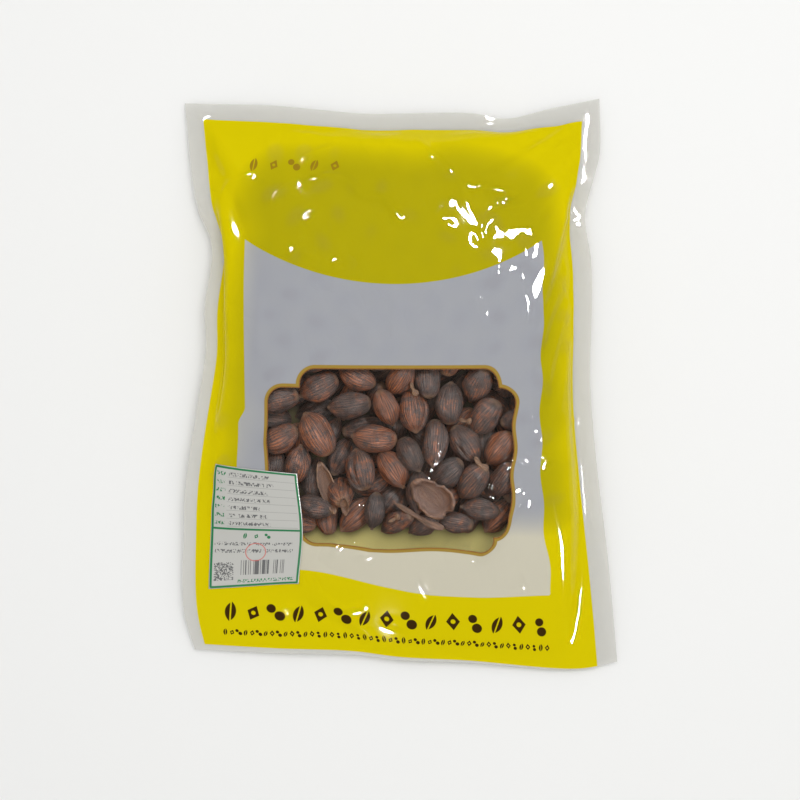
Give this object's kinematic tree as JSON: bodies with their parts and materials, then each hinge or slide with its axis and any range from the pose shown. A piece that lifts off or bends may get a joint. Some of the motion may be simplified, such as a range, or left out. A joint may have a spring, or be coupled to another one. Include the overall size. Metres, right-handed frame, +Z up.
{
  "type": "pouch of black cardamom pods",
  "caption": "Flat sealed plastic pouch, plump with whole dried black cardamom pods, with a clear window and a stuck-on paper label; lies on its back.",
  "frame": {"origin": "on the ground under the middle of the pouch as it lies on its back", "axes": "+Z up, towards the printed front sheet; +Y towards the top seal; +X to the right when the print is read"},
  "size_m": [0.305, 0.4008, 0.0466],
  "materials": {
    "film": "glossy",
    "paper": "satin paper",
    "husk": "dry fibrous husk"
  },
  "bodies": {
    "root": {"pouch": "film", "label": "paper", "pods": "husk"}
  },
  "joints": []
}
